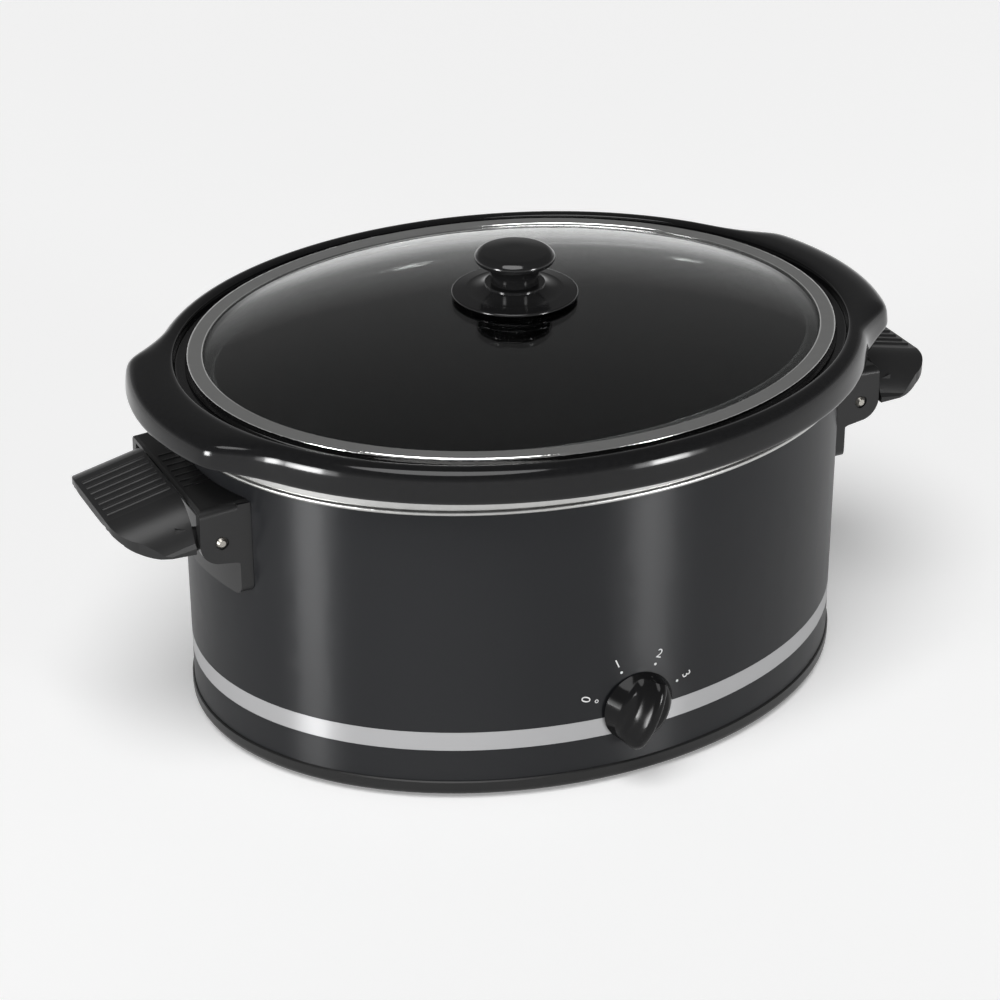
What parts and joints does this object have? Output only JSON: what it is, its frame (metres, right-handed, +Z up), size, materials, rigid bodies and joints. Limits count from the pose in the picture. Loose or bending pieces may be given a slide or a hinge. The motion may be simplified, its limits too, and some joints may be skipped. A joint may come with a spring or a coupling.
{
  "type": "slow cooker",
  "caption": "Oval countertop slow cooker: painted steel heating base with fold-down end handles and a front dial, lift-out glazed crock and domed glass lid with a steel rim.",
  "frame": {"origin": "centre of the oval on the counter the feet stand on", "axes": "+X to the right end handle, +Z up, the dial faces -Y"},
  "size_m": [0.452, 0.3138, 0.228],
  "materials": {
    "shell_paint": "charcoal satin metallic paint with a silver printed stripe",
    "base_plastic": "black moulded plastic, satin",
    "foot_rubber": "matt black rubber",
    "liner_metal": "bare aluminised sheet, mottled",
    "plain_steel": "plain zinc plated steel",
    "shield_metal": "mill finish",
    "heater_wrap": "mica and glass-fibre wrapped heater band",
    "fuse_body": "white ceramic case",
    "switch_plastic": "black phenolic",
    "dial_plastic": "glossy black",
    "gland_rubber": "black",
    "handle_plastic": "black phenolic, satin",
    "rivet_metal": "nickel plated",
    "crock_glaze": "glossy black glazed stoneware",
    "lid_glass": "clear tempered glass",
    "lid_steel": "polished stainless steel ring",
    "lid_knob_plastic": "glossy black phenolic",
    "washer_rubber": "silicone"
  },
  "bodies": {
    "cooker": {"outer_shell": "shell_paint", "base_pan": "base_plastic", "rubber_feet": "foot_rubber", "heating_liner": "liner_metal", "tie_bolt": "plain_steel", "tie_sleeve": "plain_steel", "tie_nut": "plain_steel", "heat_shield": "shield_metal", "shield_screws": "plain_steel", "heater_band": "heater_wrap", "band_straps": "plain_steel", "thermal_fuse": "fuse_body", "fuse_clip": "plain_steel", "rotary_switch": "switch_plastic", "switch_nut": "plain_steel", "cord_gland": "gland_rubber", "handle_bracket_right": "handle_plastic", "handle_bracket_left": "handle_plastic", "bracket_screws": "plain_steel", "pivot_rivets_right": "rivet_metal", "pivot_rivets_left": "rivet_metal"},
    "crock": {"crock": "crock_glaze"},
    "lid": {"lid_glass": "lid_glass", "lid_rim": "lid_steel", "lid_collar": "lid_knob_plastic", "lid_knob": "lid_knob_plastic", "lid_washer": "washer_rubber", "lid_screw": "plain_steel"},
    "dial": {"control_knob": "dial_plastic", "switch_shaft": "plain_steel"},
    "grip_right": {"grip_right": "handle_plastic"},
    "grip_left": {"grip_left": "handle_plastic"}
  },
  "joints": [
    {"name": "crock_lift", "type": "slide", "parent": "cooker", "child": "crock", "axis": [0, 0, 1], "range_m": [0, 0.2]},
    {"name": "lid_lift", "type": "slide", "parent": "crock", "child": "lid", "axis": [0, 0, 1], "range_m": [0, 0.12]},
    {"name": "dial_turn", "type": "hinge", "parent": "cooker", "child": "dial", "pos_m": [0, -0.145, 0.04], "axis": [0, 1, 0], "range_deg": [-92, 46]},
    {"name": "grip_right_fold", "type": "hinge", "parent": "cooker", "child": "grip_right", "pos_m": [0.1765, 0, 0.1275], "axis": [0, 1, 0], "range_deg": [0, 80]},
    {"name": "grip_left_fold", "type": "hinge", "parent": "cooker", "child": "grip_left", "pos_m": [-0.1765, 0, 0.1275], "axis": [0, -1, 0], "range_deg": [0, 80]}
  ]
}
